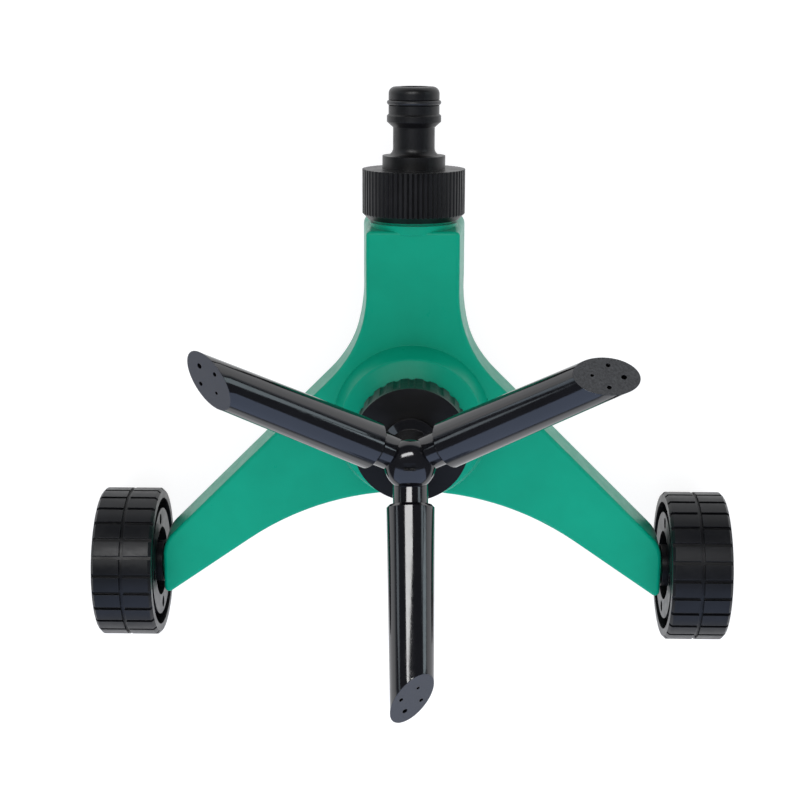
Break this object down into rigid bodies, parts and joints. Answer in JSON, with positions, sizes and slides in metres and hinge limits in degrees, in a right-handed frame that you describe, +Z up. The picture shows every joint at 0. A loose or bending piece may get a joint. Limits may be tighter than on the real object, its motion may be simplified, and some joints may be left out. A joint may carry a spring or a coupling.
{
  "type": "garden sprinkler",
  "caption": "Low lawn sprinkler: a Y-shaped base with a hose inlet rolls on wheels and carries a free-spinning head with adjustable slant-cut nozzle tubes.",
  "frame": {"origin": "on the ground, midway along the object and between the wheels", "axes": "+X across the wheels, +Y from the wheels towards the hose, +Z up along the head's axis"},
  "size_m": [0.21, 0.1844, 0.1148],
  "materials": {
    "green_plastic": "satin moulded green",
    "black_plastic": "fine satin moulded black",
    "gloss_black_plastic": "glossy moulded black",
    "wheel_plastic": "satin moulded charcoal black",
    "rubber": "smooth black sealing rubber",
    "acetal": "natural white bearing plastic",
    "steel": "plain stainless steel"
  },
  "bodies": {
    "base": {"base": "green_plastic", "collar": "black_plastic", "collar_gasket": "rubber", "bearing_bush": "acetal"},
    "rotor": {"rotor_head": "gloss_black_plastic", "spindle": "acetal", "spindle_seal": "rubber", "thrust_washer": "steel", "tube_o_ring_rear": "rubber", "tube_o_ring_right": "rubber", "tube_o_ring_left": "rubber"},
    "nozzle_rear": {"nozzle_tube_rear": "gloss_black_plastic"},
    "nozzle_right": {"nozzle_tube_right": "gloss_black_plastic"},
    "nozzle_left": {"nozzle_tube_left": "gloss_black_plastic"},
    "wheel_right": {"wheel_right": "wheel_plastic"},
    "wheel_left": {"wheel_left": "wheel_plastic"},
    "washer": {"inlet_washer": "rubber"},
    "adaptor": {"hose_adaptor": "black_plastic", "adaptor_o_ring": "rubber"}
  },
  "joints": [
    {"name": "head_spin", "type": "hinge", "parent": "base", "child": "rotor", "pos_m": [0, -0.01555, 0.0802], "axis": [0, 0, 1], "continuous": true},
    {"name": "nozzle_turn_rear", "type": "hinge", "parent": "rotor", "child": "nozzle_rear", "pos_m": [0, -0.01555, 0.0802], "axis": [0.0158, -0.9062, 0.4226], "continuous": true},
    {"name": "nozzle_turn_right", "type": "hinge", "parent": "rotor", "child": "nozzle_right", "pos_m": [0, -0.01555, 0.0802], "axis": [0.7769, 0.4668, 0.4226], "continuous": true},
    {"name": "nozzle_turn_left", "type": "hinge", "parent": "rotor", "child": "nozzle_left", "pos_m": [0, -0.01555, 0.0802], "axis": [-0.7927, 0.4394, 0.4226], "continuous": true},
    {"name": "wheel_spin_right", "type": "hinge", "parent": "base", "child": "wheel_right", "pos_m": [0, -0.06735, 0.0249], "axis": [1, 0, 0], "continuous": true},
    {"name": "wheel_spin_left", "type": "hinge", "parent": "base", "child": "wheel_left", "pos_m": [0, -0.06735, 0.0249], "axis": [1, 0, 0], "continuous": true},
    {"name": "adaptor_travel", "type": "slide", "parent": "base", "child": "washer", "axis": [0, 1, 0], "range_m": [0, 0.0109]},
    {"name": "adaptor_turn", "type": "hinge", "parent": "washer", "child": "adaptor", "pos_m": [0, 0.06345, 0.0209], "axis": [0, 1, 0], "range_deg": [0, 2160]}
  ],
  "couplings": [
    {"joint": "adaptor_travel", "follows": "adaptor_turn", "m_per_rad": 0.00028871}
  ]
}
